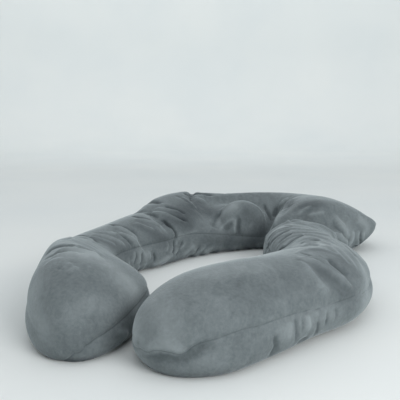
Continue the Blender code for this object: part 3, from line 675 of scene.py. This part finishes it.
def grid_normals(rings):
    """Outward normals of a grid that closes round its sections: the cross product of its two directions."""
    along = np.gradient(rings, axis=0)
    around = np.roll(rings, -1, axis=1) - np.roll(rings, 1, axis=1)
    normal = np.cross(along, around)
    normal /= np.maximum(np.linalg.norm(normal, axis=2, keepdims=True), 1e-12)
    outward = rings - rings.mean(axis=1, keepdims=True)
    return normal * np.sign((normal * outward).sum())


def on_cover(rings, rows, line):
    """Points in space of a smooth line given by row number and place round the section, by bilinear mixing.

    Where two neighbours' places are more than half a round apart, the line goes on over the inner seam.
    """
    line = np.array(line, float)
    line[1:, 1] -= 2 * np.cumsum(np.round(np.diff(line[:, 1]) / 2))
    padded = np.concatenate([2 * line[:1] - line[1:2], line, 2 * line[-1:] - line[-2:-1]])
    stretches = (padded[first : len(padded) - 3 + first] for first in range(4))
    smooth = np.concatenate([spline(*stretches, LINE_STEPS), line[-1:]])
    place = np.mod(smooth[:, 1], 2)
    finer = rings.shape[1] // (UPPER_STEPS + LOWER_STEPS)
    rung = np.clip((np.interp(smooth[:, 0], rows, np.arange(len(rows))) - 1) * finer, 0, len(rings) - 1.001)
    column = finer * np.where(place < 1, place * UPPER_STEPS, UPPER_STEPS + (place - 1) * LOWER_STEPS)
    i, j = rung.astype(int), column.astype(int)
    a, b = (rung - i)[:, None], (column - j)[:, None]
    around = rings.shape[1]
    j, k = j % around, (j + 1) % around
    near = rings[i, j] * (1 - b) + rings[i, k] * b
    far = rings[i + 1, j] * (1 - b) + rings[i + 1, k] * b
    return near * (1 - a) + far * a


def in_reach(points, line, reach):
    """Which points lie in the box round a line, widened by the reach."""
    return ((points > line.min(axis=0) - reach) & (points < line.max(axis=0) + reach)).all(axis=1)


def from_line(points, line):
    """How each point lies to a line: distance, nearest stretch, share along that stretch, and the gap."""
    start, step = line[:-1], np.diff(line, axis=0)
    from_start = points[:, None] - start
    share = np.clip((from_start * step).sum(axis=2) / np.maximum((step**2).sum(axis=1), 1e-12), 0, 1)
    gap = from_start - share[..., None] * step
    away = np.linalg.norm(gap, axis=2)
    stretch = away.argmin(axis=1)
    pick = np.arange(len(points)), stretch
    return away[pick], stretch, share[pick], gap[pick]


def crease_height(points, normals, line, height, width, lean):
    """Height that one crease adds at each point: a sharp crest along the line that falls off to both sides.

    With d the distance from the line, rounded off near nothing, the height is exp(-d / width) less a
    shallow bell beside it, where the cover dips, and the width is wider on one side and narrower on the
    other by the lean.  It fades at both ends of the line.
    """
    away, stretch, share, gap = from_line(points, line)
    step = np.diff(line, axis=0)
    length = np.linalg.norm(step, axis=1)
    gone = np.concatenate([[0], np.cumsum(length)])
    way = (gone[stretch] + share * length[stretch]) / gone[-1]
    side = np.sign((np.cross(step[stretch], normals) * gap).sum(axis=1))
    crest = (RIDGE_CREST if height > 0 else VALLEY_CREST) * width
    leant = width * (1 + lean * side)
    peak = np.exp(-(np.sqrt(away**2 + crest**2) - crest) / leant)
    beside = np.exp(-((away / (BESIDE_WIDTH * leant)) ** 2))
    end = np.clip(np.minimum(way, 1 - way) / END_FADE, 0, 1)
    return height * ((1 + BESIDE) * peak - BESIDE * beside) * end * (2 - end)


def crease_lift(rings, rows, creases):
    """How far all the creases together raise each point, in metres."""
    points = rings.reshape(-1, 3)
    normals = grid_normals(rings).reshape(-1, 3)
    lift = np.zeros(len(points))
    for height, width, lean, line in creases:
        path = on_cover(rings, rows, line)
        close = in_reach(points, path, CREASE_REACH * width * MM)
        lift[close] += crease_height(points[close], normals[close], path, height * MM, width * MM, lean)
    return HEIGHTEN * lift.reshape(rings.shape[:2])


def wrinkle_family(count, rows, places, height, width, bow, seed):
    """Wrinkles laid side by side: count lines that run round the section, evenly along the rows but unlike.

    Each line starts and ends near the given places and its middle is pushed along the rows by the bow.
    """
    draw = np.random.default_rng(seed)
    stride = (rows[1] - rows[0]) / count
    reach = places[1] - places[0]
    family = []
    for i in range(count):
        row = rows[0] + stride * (i + 0.5 + draw.uniform(-UNLIKE["row"], UNLIKE["row"]))
        first = places[0] + reach * draw.uniform(0, UNLIKE["ends"])
        last = places[1] - reach * draw.uniform(0, UNLIKE["ends"])
        slant = stride * draw.uniform(-UNLIKE["slant"], UNLIKE["slant"])
        middle = row + bow + stride * draw.uniform(-UNLIKE["middle"], UNLIKE["middle"])
        line = [(row - slant, first), (middle, (first + last) / 2), (row + slant, last)]
        high, wide = height * draw.uniform(*UNLIKE["height"]), width * draw.uniform(*UNLIKE["width"])
        family.append((high, wide, draw.uniform(-UNLIKE["lean"], UNLIKE["lean"]), line))
    return family


def all_creases():
    """Every crease of the tables and every wrinkle of the families, as height, width, lean and line."""
    creases = [(height, width, 0, line) for group in CREASES.values() for height, width, *line in group]
    for family in FAMILIES.values():
        creases += wrinkle_family(*family)
    return creases


# ---------------------------------------------------------------------------------------------------------
# Meshes
# ---------------------------------------------------------------------------------------------------------


def grid_quads(count, around):
    """Corners of the quads between count closed rings of so many points each."""
    ring, here = np.meshgrid(np.arange(count - 1) * around, np.arange(around), indexing="ij")
    there = (here + 1) % around
    corners = [ring + here, ring + around + here, ring + around + there, ring + there]
    return np.stack(corners, axis=-1).reshape(-1, 4).tolist()


def volume(data):
    """Volume inside a closed mesh: a sixth of the sum of its triangles' triple products of corners."""
    data.calc_loop_triangles()
    points = np.empty(len(data.vertices) * 3)
    data.vertices.foreach_get("co", points)
    corners = np.empty(len(data.loop_triangles) * 3, np.int32)
    data.loop_triangles.foreach_get("vertices", corners)
    a, b, c = points.reshape(-1, 3)[corners.reshape(-1, 3)].transpose(1, 0, 2)
    return (np.cross(a, b) * c).sum() / 6


def as_mesh(name, rings, tips):
    """A mesh of quads over the grid, closed round every section and with a fan of triangles at each tip."""
    count, around = rings.shape[:2]
    here = np.arange(around)
    there = (here + 1) % around
    last = (count - 1) * around
    first_fan = np.column_stack([np.full(around, count * around), here, there])
    last_fan = np.column_stack([np.full(around, count * around + 1), last + there, last + here])
    data = bpy.data.meshes.new(name)
    points = np.concatenate([rings.reshape(-1, 3), tips])
    data.from_pydata(points.tolist(), [], grid_quads(count, around) + first_fan.tolist() + last_fan.tolist())
    data.validate()
    if volume(data) < 0:
        data.flip_normals()
    data.shade_smooth()
    return data


def put_in_scene(name, data):
    """A new object that shows the data, linked to the scene."""
    shown = bpy.data.objects.new(name, data)
    bpy.context.scene.collection.objects.link(shown)
    return shown


# ---------------------------------------------------------------------------------------------------------
# Cloth
# ---------------------------------------------------------------------------------------------------------


def cut_shape(rings, tips, rungs):
    """The cover as it was cut, longer than the stuffed shape by EASE, for the cloth to be at rest in.

    Each stride between two rungs is lengthened on its inner and its outer side by the ease there, so the
    rung turns a little more or less than in the stuffed shape.  Turns and strides are summed from the
    left tip, and each section keeps its shape and its height.
    """
    inner = np.column_stack([rungs["in_x"], rungs["in_y"]])
    outer = np.column_stack([rungs["out_x"], rungs["out_y"]])
    width = np.linalg.norm(outer - inner, axis=1)
    middle = (inner + outer) / 2
    stride = np.diff(middle, axis=0)
    heading = np.arctan2(stride[:, 1], stride[:, 0])
    in_stride = np.linalg.norm(np.diff(inner, axis=0), axis=1)
    out_stride = np.linalg.norm(np.diff(outer, axis=0), axis=1)
    slack = [by_rung({name: pair[side] for name, pair in EASE.items()}, rungs["row"]) for side in (0, 1)]
    in_ease, out_ease = ((column[1:] + column[:-1]) / 2 for column in slack)
    wide = np.maximum(NARROWEST, (width[1:] + width[:-1]) / 2)
    rung = (outer - inner)[1:-1]
    bearing = np.unwrap(np.arctan2(rung[:, 1], rung[:, 0]))
    way = np.sign((np.diff(bearing) * (out_stride - in_stride)[1:-1]).sum())
    turn = np.concatenate([[0], np.cumsum((out_stride * out_ease - in_stride * in_ease) / wide * way)])
    added = in_stride * in_ease + out_stride * out_ease
    longer = 1 + added / np.maximum(in_stride + out_stride, 1e-9)
    heading = heading + (turn[1:] + turn[:-1]) / 2
    ahead = np.column_stack([np.cos(heading), np.sin(heading)])
    steps = (np.linalg.norm(stride, axis=1) * longer)[:, None] * ahead
    moved = middle[0] + np.concatenate([np.zeros((1, 2)), np.cumsum(steps, axis=0)])
    turned = turn[1:-1, None]
    from_middle = rings[..., :2] - middle[1:-1, None]
    x = from_middle[..., 0] * np.cos(turned) - from_middle[..., 1] * np.sin(turned)
    y = from_middle[..., 0] * np.sin(turned) + from_middle[..., 1] * np.cos(turned)
    cut = np.dstack([x + moved[1:-1, None, 0], y + moved[1:-1, None, 1], rings[..., 2]])
    return cut, np.column_stack([moved[[0, -1]], tips[:, 2]])


def averaged(field, reach):
    """A field over the grid averaged over so many steps to each side, along the pillow and round it, twice.

    Along the pillow its first and last rungs are repeated.
    """
    steps = range(-reach, reach + 1)
    for _ in range(2):
        field = sum(np.roll(field, step, axis=1) for step in steps) / len(steps)
        first, last = (np.repeat(end, reach, axis=0) for end in (field[:1], field[-1:]))
        ends = np.concatenate([first, field, last])
        field = sum(ends[reach + step : len(field) + reach + step] for step in steps) / len(steps)
    return field


def held(rings):
    """How firmly each point and each tip is held: 1 on the floor and at the tips, HOLD elsewhere."""
    from_tip = np.minimum(np.arange(len(rings)), np.arange(len(rings))[::-1]) / TIP_RUNGS
    at_tip = np.round(np.clip(1 - from_tip, 0, 1), 2)[:, None]
    hold = np.where(rings[..., 2] < TOUCH, 1, HOLD)
    return np.append(np.maximum(hold, at_tip).ravel(), [1, 1])


def settle(rings, tips, cut, cut_tips):
    """The cover after its cloth has settled round the filling, which pushes it outwards from inside.

    The floor's side is pinned, the tips are held, and everything else is drawn weakly to the stuffed shape.
    Of the way that each point went, the fine part (what is left without the average round it) is kept as
    folds, and of the broad part only a share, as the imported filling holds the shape.
    """
    data = as_mesh("cover_to_settle", rings, tips)
    cover = put_in_scene("cover_to_settle", data)
    cover.shape_key_add(name="stuffed")
    at_rest = cover.shape_key_add(name="cut")
    at_rest.data.foreach_set("co", np.concatenate([cut.reshape(-1, 3), cut_tips]).astype(np.float32).ravel())
    at_rest.value = 0
    hold = held(rings)
    group = cover.vertex_groups.new(name="hold")
    for weight in np.unique(hold):
        group.add(np.flatnonzero(hold == weight).tolist(), float(weight), "REPLACE")
    cloth = cover.modifiers.new("cover", "CLOTH")
    for name, value in CLOTH.items():
        setattr(cloth.settings, name, value)
    cloth.settings.effector_weights.gravity = 0
    cloth.settings.rest_shape_key = at_rest
    cloth.collision_settings.use_collision = False
    for step in range(1, FRAMES + 1):
        bpy.context.scene.frame_set(step)
    settled = cover.evaluated_get(bpy.context.evaluated_depsgraph_get()).to_mesh()
    moved = np.empty(len(settled.vertices) * 3, np.float32)
    settled.vertices.foreach_get("co", moved)
    bpy.data.objects.remove(cover)
    bpy.data.meshes.remove(data)
    bpy.context.scene.frame_set(1)
    move = moved.reshape(-1, 3)[:-2].astype(float) - rings.reshape(-1, 3)
    far = np.linalg.norm(move, axis=1, keepdims=True)
    move = (move * np.minimum(1, MOST_MOVE / np.maximum(far, 1e-9))).reshape(rings.shape)
    loose = averaged((rings[..., 2:] >= TOUCH).astype(float), FLOOR_REACH)
    broad = averaged(move, BROAD_REACH) * loose
    followed = rings + FOLLOW["fine"] * move - (FOLLOW["fine"] - FOLLOW["broad"]) * broad
    followed[..., 2] = np.maximum(followed[..., 2], 0)
    return followed


# ---------------------------------------------------------------------------------------------------------
# Finishing the cover
# ---------------------------------------------------------------------------------------------------------


def twice_as_fine(rings):
    """The grid with a new point halfway between every two, on a smooth curve through four neighbours.

    A halfway point is (9 (b + c) - (a + d)) / 16 of four points a, b, c, d in a row.  Round the section
    the grid closes on itself; along the pillow its first and last rungs are repeated.
    """
    before, after, beyond = np.roll(rings, 1, axis=1), np.roll(rings, -1, axis=1), np.roll(rings, -2, axis=1)
    between_places = (9 * (rings + after) - before - beyond) / 16
    finer = np.stack([rings, between_places], axis=2).reshape(len(rings), -1, 3)
    ends = np.concatenate([2 * finer[:1] - finer[1:2], finer, 2 * finer[-1:] - finer[-2:-1]])
    between_rungs = (9 * (ends[1:-2] + ends[2:-1]) - ends[:-3] - ends[3:]) / 16
    both = np.empty((2 * len(finer) - 1, *finer.shape[1:]))
    both[0::2], both[1::2] = finer, between_rungs
    return both


def distance(points, path, reach):
    """Distance of each point from a line, some stretches of it at a time, and no farther than the reach."""
    away = np.full(len(points), reach)
    for first in range(0, len(path) - 1, STRETCHES):
        line = path[first : first + STRETCHES + 1]
        close = in_reach(points, line, reach)
        away[close] = np.minimum(away[close], from_line(points[close], line)[0])
    return away


def draw_in_seam(rings, away):
    """The cover with its seam drawn in: a narrow groove and a wider shallow one, each a bell across it."""
    narrow = SEAM_PULL["depth"] * np.exp(-((away / SEAM_PULL["width"]) ** 2))
    wide = SEAM_PULL["pull"] * np.exp(-((away / SEAM_PULL["pull_width"]) ** 2))
    return rings - grid_normals(rings) * (narrow + wide)[..., None]


def tuck_under(rings):
    """The cover drawn in just above the floor, where the filling rounds it under.

    Each section's points below the tuck's height H move towards the middle of its foot, by the tuck's
    depth times w = (1 - z / H)^2 and times their share of the way out to the edge of the foot, which is
    the farthest point with w over a half.
    """
    weight = np.clip(1 - rings[..., 2] / TUCK["height"], 0, 1) ** 2
    whole = np.maximum(weight.sum(axis=1), 1e-9)
    middle = (rings[..., :2] * weight[..., None]).sum(axis=1) / whole[:, None]
    away = rings[..., :2] - middle[:, None]
    foot = np.linalg.norm(away, axis=2) * (weight > 0.5)
    edge = np.maximum(foot.max(axis=1), TUCK["narrowest"])
    tucked = rings.copy()
    tucked[..., :2] -= away * (TUCK["depth"] * weight / edge[:, None])[..., None]
    return tucked


def painted_light_and_pile_tone(rings, rows):
    """How much paler (over nothing) or deeper (under it) the velour is painted: a bell across each patch's
    line, painted light and shade with some uneven pile tone.

    Just above the floor it is painted deeper too, a painted contact shadow, by a bell of the height z.
    """
    points = rings.reshape(-1, 3)
    # A painted contact shadow: the velour is painted darker just above the floor.
    tone = -np.exp(-((points[:, 2] / CONTACT_SHADOW_HEIGHT) ** 2))
    for strength, width, *line in PAINTED_LIGHT_AND_PILE.values():
        away = distance(points, on_cover(rings, rows, line), PATCH_REACH * width * MM)
        tone += strength * np.exp(-((away / (width * MM)) ** 2))
    return np.clip(tone, -1, 1)


def add_values(data, name, values):
    """Gives the mesh one number a point under a name, for its material to read, and none at the tips."""
    attribute = data.attributes.new(name, "FLOAT", "POINT")
    attribute.data.foreach_set("value", np.append(values.ravel(), [0, 0]).astype(np.float32))


def make_cover():
    """The whole pillow as one mesh: stuffed shape, broad creases, cloth, all creases, seam and foot."""
    rings, tips, rungs = stuffed_shape()
    rows = rungs["row"]
    creases = all_creases()
    lift = crease_lift(rings, rows, [crease for crease in creases if crease[1] >= COARSE])
    wrinkled = rings + grid_normals(rings) * BEFORE_CLOTH * lift[..., None]
    wrinkled[..., 2] = np.maximum(wrinkled[..., 2], 0)
    wrinkled = settle(wrinkled, tips, *cut_shape(wrinkled, tips, rungs))
    fine = twice_as_fine(wrinkled)
    lift = crease_lift(fine, rows, creases)
    fine = fine + grid_normals(fine) * AFTER_CLOTH * lift[..., None]
    away = distance(fine.reshape(-1, 3), on_cover(fine, rows, SEAM), SEAM_REACH)
    fine = draw_in_seam(fine, away.reshape(fine.shape[:2]))
    fine[..., 2] = np.maximum(fine[..., 2], 0)
    fine = tuck_under(fine)
    data = as_mesh("velour_cover", fine, tips)
    add_values(data, "from_seam", away)
    # For the velour: the crests' lift, to paint crests lighter and valleys darker, and the painted light and
    # shade of the patches and at the floor.
    add_values(data, "crest", np.clip(lift / CREST, -1, 1))
    add_values(data, "painted_light_and_pile", painted_light_and_pile_tone(fine, rows))
    return data


# ---------------------------------------------------------------------------------------------------------
# Materials
# ---------------------------------------------------------------------------------------------------------


class Nodes:
    """Adds nodes to a material's tree and links them, in short words."""

    def __init__(self, name, shader_values):
        self.material = bpy.data.materials.new(name)
        self.material.use_nodes = True
        self.tree = self.material.node_tree
        self.shader = self.tree.nodes["Principled BSDF"]
        for key, value in shader_values.items():
            self.shader.inputs[key].default_value = value

    def add(self, kind, inputs=(), **settings):
        """A node of a kind, with its settings and inputs."""
        node = self.tree.nodes.new("ShaderNode" + kind)
        for key, value in settings.items():
            setattr(node, key, value)
        for key, value in dict(inputs).items():
            self.put(node.inputs[key], value)
        return node

    def put(self, socket, value):
        """Links an output to a socket, or sets the socket to a plain value."""
        if isinstance(value, bpy.types.NodeSocket):
            self.tree.links.new(value, socket)
        else:
            socket.default_value = value

    def noise(self, vector, waves, detail, roughness=0.5, distortion=0.0):
        """Noise from 0 to 1 at so many waves a metre."""
        shape = {"Scale": waves, "Detail": detail, "Roughness": roughness, "Distortion": distortion}
        return self.add("TexNoise", {"Vector": vector, **shape}).outputs["Fac"]

    def spread(self, value, low, high, to_low, to_high, smooth=False):
        """A value's range from low to high carried over to another range, and held there."""
        ranges = {"From Min": low, "From Max": high, "To Min": to_low, "To Max": to_high}
        kind = "SMOOTHSTEP" if smooth else "LINEAR"
        return self.add("MapRange", {"Value": value, **ranges}, interpolation_type=kind).outputs["Result"]

    def math(self, operation, first, second):
        """The sum, product or other result of two values."""
        return self.add("Math", {0: first, 1: second}, operation=operation).outputs[0]

    def mix(self, share, first, second):
        """Two colours mixed, the second by its share."""
        return self.add("Mix", {"Factor": share, "A": first, "B": second}, data_type="RGBA").outputs["Result"]


def velour():
    """Short-pile velour: painted light and shade in patches, on crests and at the floor; streaks, fine pile
    and a sheen.
    """
    nodes = Nodes("blue_grey_velour", VELOUR_SHADER)
    place = nodes.add("TexCoord").outputs["Object"]
    turned = nodes.add("Mapping", {"Vector": place, "Scale": STROKES["size"], "Rotation": STROKES["turn"]})
    places = {name: place for name in PATTERNS} | {"strokes": turned.outputs["Vector"]}
    pattern = {name: nodes.noise(places[name], *grain) for name, grain in PATTERNS.items()}
    values = (nodes.add("Attribute", attribute_name=name) for name in ("from_seam", "crest", "painted_light_and_pile"))
    seam, crest, painted_light_and_pile = (node.outputs["Fac"] for node in values)
    # Crests are painted lighter and valleys darker, as highlight and shade.
    tone = nodes.math("MULTIPLY", crest, CREST_PAINTED_TONE)
    for name, (low, high, shift) in TONES.items():
        tone = nodes.math("ADD", tone, nodes.spread(pattern[name], low, high, -shift, shift))
    colour = nodes.mix(nodes.spread(tone, -FULL_TONE, FULL_TONE, 0, 1), VELOUR["dark"], VELOUR["light"])
    # Painted light and shade: the patches, the painted contact shadow and the crests' painted highlight, made
    # uneven by the patches noise.
    painted_light_and_pile = nodes.math("MULTIPLY", painted_light_and_pile, nodes.spread(pattern["patches"], *UNEVEN))
    painted_light_and_pile = nodes.math("ADD", painted_light_and_pile, nodes.math("MULTIPLY", crest, CREST_PAINTED_LIGHT))
    colour = nodes.mix(nodes.spread(painted_light_and_pile, 0, 1, 0, 1), colour, VELOUR["pale"])
    colour = nodes.mix(nodes.spread(painted_light_and_pile, -1, 0, 1, 0), colour, VELOUR["deep"])
    line = nodes.spread(seam, 0, SEAM_LINE["width"], SEAM_LINE["share"], 0, smooth=True)
    nodes.put(nodes.shader.inputs["Base Color"], nodes.mix(line, colour, VELOUR["seam"]))
    below = {}
    for name, (strength, height) in BUMPS.items():
        sockets = {"Height": pattern[name], "Strength": strength, "Distance": height * MM, **below}
        bump = nodes.add("Bump", sockets)
        below = {"Normal": bump.outputs["Normal"]}
    nodes.put(nodes.shader.inputs["Normal"], below["Normal"])
    return nodes.material


def pale_surface():
    """The matt surface of the floor and the backdrop, with a slight unevenness."""
    nodes = Nodes("pale_surface", SURFACE_SHADER)
    clouds = nodes.noise(nodes.add("TexCoord").outputs["Object"], *SURFACE["clouds"])
    colour = nodes.mix(nodes.spread(clouds, *SURFACE["range"]), SURFACE["dark"], SURFACE["light"])
    nodes.put(nodes.shader.inputs["Base Color"], colour)
    return nodes.material


# ---------------------------------------------------------------------------------------------------------
# Studio
# ---------------------------------------------------------------------------------------------------------


def make_floor():
    """A round studio floor that curves up into a backdrop: a profile turned about the vertical.

    The profile runs out flat to the curve, a quarter circle, and then straight up.
    """
    flat, radius, wall, rings, sides = (FLOOR[name] for name in ("flat", "curve", "wall", "rings", "sides"))
    out = np.append(FLOOR["middle"], np.linspace(FLOOR["first_ring"], flat, rings))
    bend = np.linspace(0, np.pi / 2, rings + 1)[1:]
    reach = np.concatenate([out, flat + radius * np.sin(bend), [flat + radius] * 2])
    curved = radius * (1 - np.cos(bend))
    height = np.concatenate([np.zeros(len(out)), curved, [radius + wall / 2, radius + wall]])
    angle = np.linspace(0, 2 * np.pi, sides + 1)[:-1]
    x, y = reach[:, None] * np.cos(angle), reach[:, None] * np.sin(angle)
    points = np.dstack([x, y, np.broadcast_to(height[:, None], x.shape)])
    data = bpy.data.meshes.new("studio_floor")
    data.from_pydata(points.reshape(-1, 3).tolist(), [], grid_quads(len(reach), sides) + [list(range(sides))])
    data.validate()
    data.shade_smooth()
    data.materials.append(pale_surface())
    put_in_scene("studio_floor", data)


def make_light(name, place, aim, size, power, colour):
    """A soft rectangular light at a place, turned towards another."""
    light = bpy.data.lights.new(name, "AREA")
    light.shape = "RECTANGLE"
    light.size, light.size_y = size
    light.energy = power
    light.color = colour
    lamp = put_in_scene(name, light)
    lamp.location = place
    away = np.array(place) - np.array(aim)
    level = math.hypot(away[0], away[1])
    lamp.rotation_euler = (math.atan2(level, away[2]), 0, math.atan2(away[1], away[0]) + math.pi / 2)


def make_camera():
    """The camera, looking along +Y and a little down."""
    lens = bpy.data.cameras.new("camera")
    lens.sensor_width = CAMERA["sensor"]
    lens.lens = CAMERA["lens"]
    camera = put_in_scene("camera", lens)
    camera.location = CAMERA["place"]
    camera.rotation_euler = (math.radians(90 - CAMERA["down"]), 0, 0)
    bpy.context.scene.camera = camera


def make_air():
    """The even light from all round the studio."""
    world = bpy.data.worlds.new("studio")
    world.use_nodes = True
    for name, value in AIR.items():
        world.node_tree.nodes["Background"].inputs[name].default_value = value
    bpy.context.scene.world = world


# ---------------------------------------------------------------------------------------------------------
# Making
# ---------------------------------------------------------------------------------------------------------

bpy.context.scene.view_settings.view_transform = "Standard"
cover = put_in_scene("velour_cover", make_cover())
cover.data.materials.append(velour())
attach(cover, "root")
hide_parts("body_pillow")

make_floor()
make_air()
for name, setting in LIGHTS.items():
    make_light(name, *setting)
make_camera()
